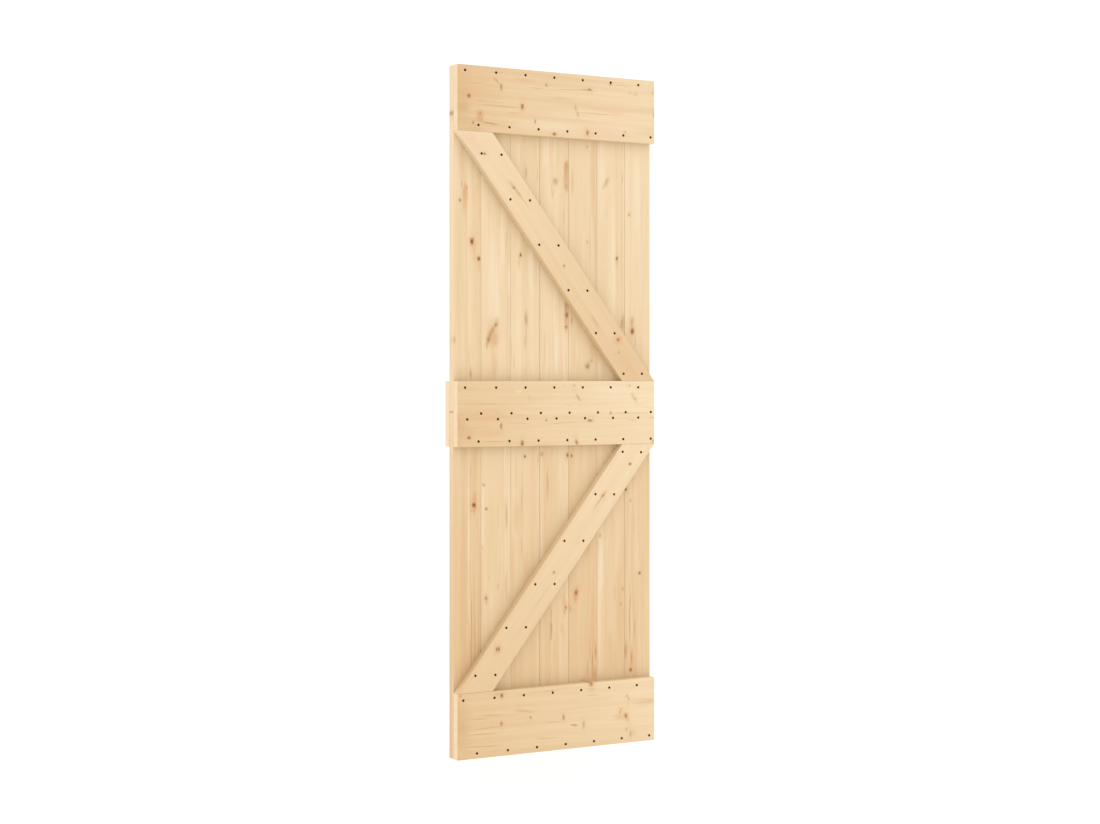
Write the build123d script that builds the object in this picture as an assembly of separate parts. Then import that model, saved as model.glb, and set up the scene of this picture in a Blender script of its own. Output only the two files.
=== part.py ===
from build123d import *
from math import asin, atan2, degrees, hypot, radians, sin
import os

# Leaf of a sliding door in solid pine: two tiers of tongued and grooved planks, three rails and two
# slanting braces on the front, and one more rail on the back that covers the joint of the two tiers.
# Millimetres. X runs to the right seen from the front, Y from the front to the back and Z up.
# The origin is the middle of the top rail's front face, where the hangers of the sliding gear bolt on.

# The leaf
leaf_width = 700.0
leaf_height = 2100.0

# Planks, tongued on the right edge and grooved in the left one
plank_thickness = 28.0
plank_cover = 102.4           # width that one whole plank covers
whole_planks = 5              # between the two outer planks, which are trimmed alike
tongue_thickness = 9.0
tongue_length = 8.0
tongue_nose_radius = 1.5
tongue_side_clearance = 0.3   # between the tongue and each side of the groove
groove_relief = 1.0           # past the tongue's nose
seam_gap = 0.3                # between the shoulders of two neighbouring planks
seam_chamfer = 1.0            # on the arrises along a seam
tier_gap = 1.0                # between the upper and the lower tier of planks

# Rails, level boards as wide as the leaf
rail_thickness = 28.0
rail_height = 200.0
middle_rail_level = 1044.0    # from the leaf's bottom edge to the rail's middle line
tier_joint_rise = 6.0         # of the planks' joint above that line
back_rail_thickness = 28.0
back_rail_height = 200.0

# Braces, flush with the rails and mitred between them
brace_width = 95.0

arris_radius = 1.5            # on every arris of the rails and braces and along the leaf's edges

# Levels and planes that follow
top = rail_height / 2
bottom = top - leaf_height
middle_rail_z = bottom + middle_rail_level
tier_joint_z = middle_rail_z + tier_joint_rise
plank_front = rail_thickness
plank_back = plank_front + plank_thickness
left_edge = -leaf_width / 2
right_edge = leaf_width / 2


def eased_board(outline, front, thickness):
    """A board with this outline seen from the front, its front face at this Y, all arrises rounded."""
    plane = Plane(origin=(0, front, 0), x_dir=(1, 0, 0), z_dir=(0, -1, 0))
    board = extrude(plane * outline, amount=-thickness)
    return fillet(board.edges(), arris_radius)


def rail(middle, front, height, thickness):
    """A level board across the whole leaf, with its middle line at this Z."""
    return eased_board(Pos(0, middle) * Rectangle(leaf_width, height), front, thickness)


def brace(low, high, leans_right):
    """A board slanting from edge to edge of the leaf, mitred to seat on the rails at both its ends."""
    rise = high - low
    # The slope at which a board of this width just reaches both edges of the leaf
    slope = atan2(rise, leaf_width) + asin(brace_width / hypot(leaf_width, rise))
    cut = brace_width / sin(slope)
    corners = [(left_edge, low), (left_edge + cut, low), (right_edge, high), (right_edge - cut, high)]
    if not leans_right:
        corners = [(-x, z) for x, z in corners]
    return eased_board(make_face(Polyline(*corners, close=True)), 0, rail_thickness)


def corners_at(section, x):
    """The corners of a section that lie on the line at this X."""
    return [corner for corner in section.vertices() if abs(corner.X - x) < seam_gap / 10]


def plank_section(left, right):
    """A plank seen from above between two edges, with its tongue, groove and eased arrises."""
    section = Pos((left + right) / 2, plank_thickness / 2) * Rectangle(right - left, plank_thickness)
    if left > left_edge:
        depth = tongue_length - seam_gap + groove_relief
        slot = tongue_thickness + 2 * tongue_side_clearance
        groove = Rectangle(depth, slot, align=(Align.MIN, Align.CENTER))
        section = chamfer(corners_at(section, left), seam_chamfer)
        section -= Pos(left, plank_thickness / 2) * groove
    else:
        section = fillet(corners_at(section, left), arris_radius)
    if right < right_edge:
        section = chamfer(corners_at(section, right), seam_chamfer)
        tongue = Rectangle(tongue_length, tongue_thickness, align=(Align.MIN, Align.CENTER))
        tongue = fillet(corners_at(tongue, tongue_length), tongue_nose_radius)
        section += Pos(right, plank_thickness / 2) * tongue
    else:
        section = fillet(corners_at(section, right), arris_radius)
    return section


def plank(left, right, low, high):
    """One upright plank between two edges and two levels."""
    section = Pos(0, plank_front, low) * plank_section(left, right)
    return extrude(section, amount=high - low, dir=(0, 0, 1))


def plank_edges():
    """Left and right edge of each plank, from the left one to the right one."""
    first_seam = -whole_planks * plank_cover / 2
    seams = [first_seam + number * plank_cover for number in range(whole_planks + 1)]
    lefts = [left_edge] + [seam + seam_gap / 2 for seam in seams]
    rights = [seam - seam_gap / 2 for seam in seams] + [right_edge]
    return list(zip(lefts, rights))


def door_pieces():
    """Every piece of the leaf by its name."""
    top_rail_foot = top - rail_height
    bottom_rail_head = bottom + rail_height
    middle_rail_head = middle_rail_z + rail_height / 2
    middle_rail_foot = middle_rail_z - rail_height / 2
    pieces = {
        "top_rail": rail(top - rail_height / 2, 0, rail_height, rail_thickness),
        "middle_rail": rail(middle_rail_z, 0, rail_height, rail_thickness),
        "bottom_rail": rail(bottom + rail_height / 2, 0, rail_height, rail_thickness),
        "back_rail": rail(middle_rail_z, plank_back, back_rail_height, back_rail_thickness),
        "upper_brace": brace(middle_rail_head, top_rail_foot, False),
        "lower_brace": brace(bottom_rail_head, middle_rail_foot, True),
    }
    for number, (left, right) in enumerate(plank_edges(), start=1):
        pieces[f"upper_plank_{number}"] = plank(left, right, tier_joint_z + tier_gap / 2, top)
        pieces[f"lower_plank_{number}"] = plank(left, right, bottom, tier_joint_z - tier_gap / 2)
    return pieces


def main():
    os.makedirs("parts", exist_ok=True)
    for name, solid in door_pieces().items():
        export_step(solid, f"parts/{name}.step")


main()
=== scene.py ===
from math import asin, atan2, cos, hypot, pi, radians, sin

import bmesh
import bpy
from mathutils import Matrix, Vector


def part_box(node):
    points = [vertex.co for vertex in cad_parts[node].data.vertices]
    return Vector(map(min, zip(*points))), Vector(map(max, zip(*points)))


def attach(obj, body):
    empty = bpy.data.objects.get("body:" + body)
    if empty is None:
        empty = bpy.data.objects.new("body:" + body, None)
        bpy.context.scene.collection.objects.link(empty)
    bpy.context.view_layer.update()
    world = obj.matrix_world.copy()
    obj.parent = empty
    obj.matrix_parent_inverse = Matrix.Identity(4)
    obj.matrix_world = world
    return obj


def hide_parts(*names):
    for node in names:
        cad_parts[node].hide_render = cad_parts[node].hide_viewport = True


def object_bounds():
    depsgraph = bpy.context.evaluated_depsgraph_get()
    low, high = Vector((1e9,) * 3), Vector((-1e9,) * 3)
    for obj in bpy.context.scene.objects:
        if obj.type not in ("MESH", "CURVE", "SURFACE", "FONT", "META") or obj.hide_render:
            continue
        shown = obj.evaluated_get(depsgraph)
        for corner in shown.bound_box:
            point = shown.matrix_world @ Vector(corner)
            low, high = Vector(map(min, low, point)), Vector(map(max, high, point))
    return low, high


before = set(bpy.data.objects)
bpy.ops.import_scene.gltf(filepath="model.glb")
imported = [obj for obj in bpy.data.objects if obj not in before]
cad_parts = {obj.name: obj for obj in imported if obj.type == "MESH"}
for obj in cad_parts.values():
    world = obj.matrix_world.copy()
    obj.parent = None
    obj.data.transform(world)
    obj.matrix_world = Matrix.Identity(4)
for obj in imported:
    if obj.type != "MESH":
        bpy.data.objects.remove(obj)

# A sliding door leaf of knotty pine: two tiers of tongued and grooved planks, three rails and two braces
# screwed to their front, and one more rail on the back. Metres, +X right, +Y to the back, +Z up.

MM = 0.001
CAD_BOX = [list(corner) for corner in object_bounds()]
LEFT, FRONT, BOTTOM = CAD_BOX[0]
RIGHT, BACK, TOP = CAD_BOX[1]

# The boards, by the names of their solids
RAILS = ("top_rail", "middle_rail", "bottom_rail", "back_rail")
BRACES = ("upper_brace", "lower_brace")
PLANK_COUNT = 7  # in each tier
PLANKS = tuple(
    f"{tier}_plank_{number}" for tier in ("upper", "lower") for number in range(1, PLANK_COUNT + 1))
BOARDS = RAILS + BRACES + PLANKS

# Sizes of the boards, as the solids have them
BRACE_WIDTH = 95 * MM
ARRIS = 1.5 * MM  # radius of every rounded arris
TONGUE_LENGTH = 8 * MM
SEAM_CHAMFER = 1 * MM

# The photograph's frame, and the camera worked out from the door's edges and rows of screws in it
PHOTO_WIDTH = 1100
PHOTO_HEIGHT = 824
FOCAL_PIXELS = 1925
HORIZON_PIXEL = 381  # from the top
DOOR_TURN = radians(29.054)
CAMERA_PLACE = Vector((LEFT - 2571.5 * MM, FRONT - 5203 * MM, BOTTOM + 1143.9 * MM))


def door_point(x, z):
    """X and Z in the frame of a place on the leaf, in millimetres from its left and bottom edges."""
    return LEFT + x * MM, BOTTOM + z * MM


def srgb(red, green, blue):
    """A colour given in 0 to 255 as a screen shows it, as the linear colour that a shader takes."""
    channels = [channel / 255 for channel in (red, green, blue)]
    return [c / 12.92 if c <= 0.04045 else ((c + 0.055) / 1.055) ** 2.4 for c in channels] + [1]


WHITE = (1, 1, 1, 1)

# Node helpers

# Sockets of a Mix node that mixes colours
MIX_FACTOR = 0
MIX_FIRST = 6
MIX_SECOND = 7
MIX_RESULT = 2


def add(tree, kind, inputs=None, **settings):
    """A new node with these settings, each input set to a value or linked from a socket."""
    node = tree.nodes.new(kind)
    for name, value in settings.items():
        setattr(node, name, value)
    for name, value in (inputs or {}).items():
        if isinstance(value, bpy.types.NodeSocket):
            tree.links.new(value, node.inputs[name])
        else:
            node.inputs[name].default_value = value
    return node


def calc(tree, operation, *values, clamp=False):
    """The result of a Math node."""
    node = add(tree, "ShaderNodeMath", dict(enumerate(values)), operation=operation, use_clamp=clamp)
    return node.outputs[0]


def vector_calc(tree, operation, *values):
    """The result of a Vector Math node."""
    node = add(tree, "ShaderNodeVectorMath", dict(enumerate(values)), operation=operation)
    return node.outputs["Value" if operation == "LENGTH" else "Vector"]


def part_of(tree, vector, axis):
    """One of the three numbers of a vector."""
    return add(tree, "ShaderNodeSeparateXYZ", {"Vector": vector}).outputs[axis]


def along_axis(tree, value, axis):
    """A vector along one axis."""
    return add(tree, "ShaderNodeCombineXYZ", {axis: value}).outputs[0]


def noise(tree, point, size, detail, roughness):
    """Noise from 0 to 1 whose cells have this size in millimetres along X, Y and Z."""
    cells = vector_calc(tree, "DIVIDE", point, size)
    inputs = {"Vector": cells, "Scale": 1.0, "Detail": detail, "Roughness": roughness}
    return add(tree, "ShaderNodeTexNoise", inputs).outputs["Fac"]


def rescale(tree, value, from_low, from_high, to_low, to_high, smooth=False):
    """A value mapped from one range to another."""
    inputs = {
        "Value": value, "From Min": from_low, "From Max": from_high, "To Min": to_low, "To Max": to_high}
    way = "SMOOTHSTEP" if smooth else "LINEAR"
    return add(tree, "ShaderNodeMapRange", inputs, interpolation_type=way).outputs["Result"]


def fade(tree, distance, start, end):
    """1 up to the start, 0 past the end and a smooth slope between them."""
    return rescale(tree, distance, start, end, 1, 0, smooth=True)


def fall_off(tree, distance, reach):
    """A bell from 1 at no distance to nearly 0 past twice the reach."""
    share = calc(tree, "DIVIDE", distance, reach)
    return calc(tree, "EXPONENT", calc(tree, "MULTIPLY", calc(tree, "MULTIPLY", share, share), -1.0))


def spread_noise(tree, value, spread, low, high):
    """Noise mapped to a range. The spread is how far from 0.5 it is taken to run each way."""
    return rescale(tree, value, 0.5 - spread, 0.5 + spread, low, high)


def uneven(tree, distance, value, spread, reach):
    """A distance that noise makes shorter or longer, by up to the reach as a share of it."""
    return calc(tree, "MULTIPLY", distance, spread_noise(tree, value, spread, 1 - reach, 1 + reach))


def blend_colour(tree, factor, first, second, way="MIX"):
    """Two colours mixed, or combined in the named way."""
    inputs = {MIX_FACTOR: factor, MIX_FIRST: first, MIX_SECOND: second}
    return add(tree, "ShaderNodeMix", inputs, data_type="RGBA", blend_type=way).outputs[MIX_RESULT]


def new_group(name, inputs, outputs):
    """A node group, its input node's sockets and its output node's. Sockets are given as name and kind."""
    tree = bpy.data.node_groups.new(name, "ShaderNodeTree")
    for socket, kind in inputs.items():
        tree.interface.new_socket(socket, in_out="INPUT", socket_type="NodeSocket" + kind)
    for socket, kind in outputs.items():
        tree.interface.new_socket(socket, in_out="OUTPUT", socket_type="NodeSocket" + kind)
    return tree, tree.nodes.new("NodeGroupInput").outputs, tree.nodes.new("NodeGroupOutput").inputs


def use_group(tree, group, inputs):
    """The outputs of a group placed in another tree."""
    return add(tree, "ShaderNodeGroup", inputs, node_tree=group).outputs


def new_material(name):
    """A material and its empty tree."""
    material = bpy.data.materials.new(name)
    material.use_nodes = True
    material.node_tree.nodes.clear()
    return material, material.node_tree


def show_surface(tree, shader):
    """Makes a shader the one that the material shows."""
    add(tree, "ShaderNodeOutputMaterial", {"Surface": shader.outputs[0]})


# Pine. Every group works on a point in the board's own millimetres: X along the grain, Y into the board
# from its middle and Z across its face.

PALE_PINE = srgb(252, 229, 191)
HONEY_PINE = srgb(223, 180, 127)
LATE_WOOD = srgb(222, 176, 120)
END_PINE = srgb(251, 225, 187)
# Painted shade of a wide gap, and a painted highlight on the arris, beside a plank's tongue
SEAM_PAINTED_SHADE = srgb(150, 108, 66)
SEAM_PAINTED_HIGHLIGHT = srgb(255, 236, 200)
PINE_SPECULAR = 0.3
PINE_ROUGHNESS = (0.5, 0.66)
RELIEF_SHARE = 0.35  # how strongly the height of the grain shows
RELIEF_DEPTH = 0.15 * MM
GRAIN_STEP = 2711.0  # from one board's stretch of grain to the next board's

# Nooks between boards get painted shade, a little deeper than even light leaves them
NOOK_PAINTED_SHADE = (0.66, 0.73, 0.78, 1)  # what a wholly shut nook would keep of the colour
NOOK_REACH = 60 * MM
NOOK_LIMIT = 0.6                    # no nook counts as less open than this, where 1 is open
NOOK_SAMPLES = 8

# Clear wood. Each noise has the size of its cells, its detail and its roughness, a spread is how far it is
# taken to run from 0.5 each way, and a reach is how far it changes the tone.
BANDS = ((1100, 30, 22), 1.5, 0.5)
BAND_SPREAD = 0.25
BAND_REACH = 0.2
STREAKS = ((240, 9, 6), 3.0, 0.6)
STREAK_SPREAD = 0.3
STREAK_REACH = 0.13
FIBRES = ((45, 1.1, 0.8), 2.0, 0.6)
FIBRE_SPREAD = 0.3
FIBRE_REACH = 0.06
PLAIN_STRETCHES = ((500, 40, 16), 2.0, 0.5)
PLAIN_RANGE = (0.35, 0.7)  # of that noise, over which the rings come up
PLAIN_RINGS = 0.15         # how much the rings still show in a plain stretch
WANDER = ((420, 70, 55), 2.0, 0.5)
WANDER_REACH = 34.0        # how far the rings wander off true circles
PITH_DEPTH = 62.0          # of the tree's pith behind the board's middle
PITH_SLOPE = 0.011         # how much a ring's radius grows per millimetre along the grain
RING_STOPS = [(0.0, 0.0), (0.45, 0.1), (0.88, 1.0), (1.0, 0.0)]  # how late the wood is through one ring
RING_SHARE = 0.22          # how much of the late wood's colour the rings take
SAWN_RING_SHARE = 0.6      # the same on a sawn end
LATE_DIP = 0.5             # of the late wood, against the height of the fibres
SAWN_COVER = 0.85
SAWN_SKIN = (0.1, 0.7)     # in from the end, where the sawn colour starts to fade and is gone

# Knots and stains, with distances from their centre counted in their half sizes
KNOT_NOISE = ((6, 20, 5), 3.0, 0.6)
KNOT_UNEVEN = (0.25, 0.35)  # the noise's spread, and how far it changes a distance
STAIN_NOISE = ((60, 20, 5), 3.0, 0.6)
STAIN_UNEVEN = (0.3, 0.4)
SWERVE_REACH = 1.7
SWERVE_SHARE = 0.7          # how far aside the grain makes way for a knot
KNOT_HEART_FADE = (0.25, 1.05)
KNOT_RIM_RISE = (0.5, 0.85)
KNOT_RIM_FADE = (0.85, 1.25)
KNOT_CHECK = 1.2            # depth of the check at a knot's rim, against the height of the fibres
SURROUND_REACH = 1.9
STAIN_FADE = (0.15, 1.2)

# Glued strips and seams
STRIP_JUMP = 1370.0  # along the grain, from one strip's grain to the next one's
JOINT_FADE = (0.3, 1.2)
SEAM_BLUR = 0.4      # past the chamfer along a seam

MARK_SOCKETS = {"Point": "Vector", "Centre": "Vector", "Size": "Vector", "Turn": "Float"}


def ring_place(tree, given):
    """How far through its growth ring a point of the board lies, from 0 to 1."""
    point = given["Point"]
    across = calc(tree, "SUBTRACT", part_of(tree, point, "Z"), given["Heart"])
    deep = calc(tree, "SUBTRACT", part_of(tree, point, "Y"), PITH_DEPTH)
    square = calc(tree, "ADD", calc(tree, "MULTIPLY", across, across), calc(tree, "MULTIPLY", deep, deep))
    taper = calc(tree, "MULTIPLY", part_of(tree, point, "X"), PITH_SLOPE)
    wander = calc(tree, "MULTIPLY", noise(tree, point, *WANDER), WANDER_REACH)
    radius = calc(tree, "ADD", calc(tree, "ADD", calc(tree, "SQRT", square), taper), wander)
    return calc(tree, "FRACT", calc(tree, "DIVIDE", radius, given["Ring Width"]))


def late_wood(tree, given):
    """How dark the growth rings are at a point, from 0 to 1."""
    ramp = add(tree, "ShaderNodeValToRGB", {"Fac": ring_place(tree, given)})
    shape_ramp(ramp.color_ramp, RING_STOPS)
    plain = noise(tree, given["Point"], *PLAIN_STRETCHES)
    shown = rescale(tree, plain, *PLAIN_RANGE, PLAIN_RINGS, 1.0)
    return calc(tree, "MULTIPLY", ramp.outputs["Color"], shown)


def shape_ramp(ramp, stops):
    """Grey stops of a colour ramp."""
    for place, grey in stops[1:-1]:
        ramp.elements.new(place)
    for element, (place, grey) in zip(ramp.elements, stops):
        element.position = place
        element.color = (grey, grey, grey, 1)


def make_grain_group():
    """Clear wood: growth rings, broad bands, streaks and fine fibres."""
    tree, given, result = new_group(
        "clear_pine",
        {"Point": "Vector", "Tone": "Float", "Heart": "Float", "Ring Width": "Float", "Figure": "Float"},
        {"Colour": "Color", "Late": "Float", "Height": "Float", "Roughness": "Float"})
    point = given["Point"]
    bands = spread_noise(tree, noise(tree, point, *BANDS), BAND_SPREAD, -BAND_REACH, BAND_REACH)
    streaks = spread_noise(tree, noise(tree, point, *STREAKS), STREAK_SPREAD, -STREAK_REACH, STREAK_REACH)
    fibres = noise(tree, point, *FIBRES)
    late = late_wood(tree, given)

    change = calc(tree, "MULTIPLY", calc(tree, "ADD", bands, streaks), given["Figure"])
    fine_change = spread_noise(tree, fibres, FIBRE_SPREAD, -FIBRE_REACH, FIBRE_REACH)
    tone = calc(tree, "ADD", given["Tone"], calc(tree, "ADD", change, fine_change), clamp=True)
    colour = blend_colour(tree, tone, PALE_PINE, HONEY_PINE)
    late_share = calc(tree, "MULTIPLY", late, calc(tree, "MULTIPLY", given["Figure"], RING_SHARE))
    colour = blend_colour(tree, late_share, colour, LATE_WOOD)
    height = calc(tree, "SUBTRACT", fibres, calc(tree, "MULTIPLY", late, LATE_DIP))
    tree.links.new(colour, result["Colour"])
    tree.links.new(late, result["Late"])
    tree.links.new(height, result["Height"])
    tree.links.new(spread_noise(tree, fibres, FIBRE_SPREAD, *PINE_ROUGHNESS), result["Roughness"])
    return tree


def from_centre(tree, given):
    """A point's offset from a mark's centre over the board's face, and how many half sizes off it lies."""
    offset = vector_calc(tree, "SUBTRACT", given["Point"], given["Centre"])
    offset = vector_calc(tree, "MULTIPLY", offset, (1, 0, 1))
    turning = {"Vector": offset, "Angle": given["Turn"]}
    turned = add(tree, "ShaderNodeVectorRotate", turning, rotation_type="Y_AXIS").outputs[0]
    return offset, vector_calc(tree, "LENGTH", vector_calc(tree, "DIVIDE", turned, given["Size"]))


def make_knot_group():
    """A knot through the board: how far grain swerves round it, and its heart, rim and stained surround."""
    tree, given, result = new_group(
        "knot", MARK_SOCKETS, {"Swerve": "Vector", "Heart": "Float", "Rim": "Float", "Surround": "Float"})
    offset, distance = from_centre(tree, given)
    aside = calc(tree, "MULTIPLY", part_of(tree, offset, "Z"), -SWERVE_SHARE)
    swerve = calc(tree, "MULTIPLY", aside, fall_off(tree, distance, SWERVE_REACH))
    distance = uneven(tree, distance, noise(tree, given["Point"], *KNOT_NOISE), *KNOT_UNEVEN)
    inner = rescale(tree, distance, *KNOT_RIM_RISE, 0, 1, smooth=True)
    outer = fade(tree, distance, *KNOT_RIM_FADE)
    tree.links.new(along_axis(tree, swerve, "Z"), result["Swerve"])
    tree.links.new(fade(tree, distance, *KNOT_HEART_FADE), result["Heart"])
    tree.links.new(calc(tree, "MULTIPLY", inner, outer), result["Rim"])
    tree.links.new(fall_off(tree, distance, SURROUND_REACH), result["Surround"])
    return tree


def make_stain_group():
    """A streak or patch of another tone, ragged along the grain."""
    tree, given, result = new_group("stain", MARK_SOCKETS, {"Cover": "Float"})
    distance = from_centre(tree, given)[1]
    distance = uneven(tree, distance, noise(tree, given["Point"], *STAIN_NOISE), *STAIN_UNEVEN)
    tree.links.new(fade(tree, distance, *STAIN_FADE), result["Cover"])
    return tree


def make_strip_group():
    """A glued joint between two strips of a board: past it the grain is another and the tone differs."""
    tree, given, result = new_group(
        "strip",
        {"Point": "Vector", "Tone": "Float", "Place": "Float", "Change": "Float", "Joint": "Float"},
        {"Point": "Vector", "Tone": "Float"})
    across = part_of(tree, given["Point"], "Z")
    past = calc(tree, "GREATER_THAN", across, given["Place"])
    jump = along_axis(tree, calc(tree, "MULTIPLY", past, STRIP_JUMP), "X")
    tree.links.new(vector_calc(tree, "ADD", given["Point"], jump), result["Point"])
    changed = calc(tree, "ADD", given["Tone"], calc(tree, "MULTIPLY", past, given["Change"]))
    gap = calc(tree, "ABSOLUTE", calc(tree, "SUBTRACT", across, given["Place"]))
    line = calc(tree, "MULTIPLY", fade(tree, gap, *JOINT_FADE), given["Joint"])
    tree.links.new(calc(tree, "ADD", changed, line), result["Tone"])
    return tree


GRAIN = make_grain_group()
KNOT = make_knot_group()
STAIN = make_stain_group()
STRIP = make_strip_group()

# Kinds of knot: heart, rim and surround colours, and how strongly each shows
KNOT_KINDS = {
    "deep": (srgb(132, 86, 48), srgb(156, 104, 62), srgb(230, 174, 122), 0.95, 0.35, 0.5),
    "red": (srgb(158, 110, 70), srgb(172, 122, 80), srgb(232, 180, 130), 0.95, 0.35, 0.5),
    "dark": (srgb(146, 106, 66), srgb(160, 120, 78), srgb(222, 182, 134), 0.95, 0.3, 0.3),
    "amber": (srgb(182, 132, 86), srgb(200, 152, 104), srgb(234, 184, 134), 0.9, 0.25, 0.5),
    "brown": (srgb(174, 136, 90), srgb(188, 150, 102), srgb(226, 188, 140), 0.85, 0.3, 0.3),
    "faint": (srgb(200, 162, 112), srgb(200, 164, 116), srgb(228, 194, 148), 0.65, 0.2, 0.3),
}
# Kinds of stain: colour and strength
STAIN_KINDS = {
    "orange": (srgb(230, 180, 124), 0.5),
    "rust": (srgb(214, 158, 102), 0.62),
    "brown": (srgb(180, 136, 86), 0.62),
    "tan": (srgb(212, 172, 122), 0.45),
    "warm": (srgb(228, 184, 134), 0.45),
    "line": (srgb(190, 148, 98), 0.4),
    "olive": (srgb(190, 156, 106), 0.5),
    "blush": (srgb(242, 202, 168), 0.45),
    "green": (srgb(230, 204, 150), 0.5),
    "pale": (srgb(254, 234, 202), 0.45),
}


class Look:
    """How one board looks. Tone is 0 for pale to 1 for honey, at the board's lower and upper ends, or at a
    rail's left and right ones. Heart is how far the tree's pith lies off the middle of the face, across the
    grain, and ring is how wide a growth ring is. Knots and stains are (x, z, length, width, kind) and may
    have a turn in degrees off the grain. Strips glued edge to edge are (where their joint is, change of tone
    past it, how much darker the joint is), and past it is above it on a rail and left of it on a plank.
    Places are from the leaf's left and bottom edges, and all lengths are millimetres. Seam is how strong the
    painted shade, or below 0 the painted highlight, is on the arris beside a plank's tongue, on its right.
    Figure is how strong the grain is.
    """

    def __init__(self, tone, heart, ring, knots=(), stains=(), strips=(), seam=0.0, figure=1.0):
        self.tone = tone
        self.heart = heart
        self.ring = ring
        self.knots = knots
        self.stains = stains
        self.strips = strips
        self.seam = seam
        self.figure = figure


# The knots that the top and the middle rail share, as they were sawn from one length
TWIN_KNOTS = [
    (39, 2006, 15, 13, "red"), (149, 2040, 9, 24, "brown"), (222, 1986, 11, 20, "red"),
    (306, 2057, 7, 10, "brown"), (462, 2055, 20, 9, "brown"),
]
TWIN_SHIFT = 1034


def make_twin(knots):
    """The same knots on the middle rail."""
    return [(x, z - TWIN_SHIFT, length, width, kind) for x, z, length, width, kind in knots]


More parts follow.
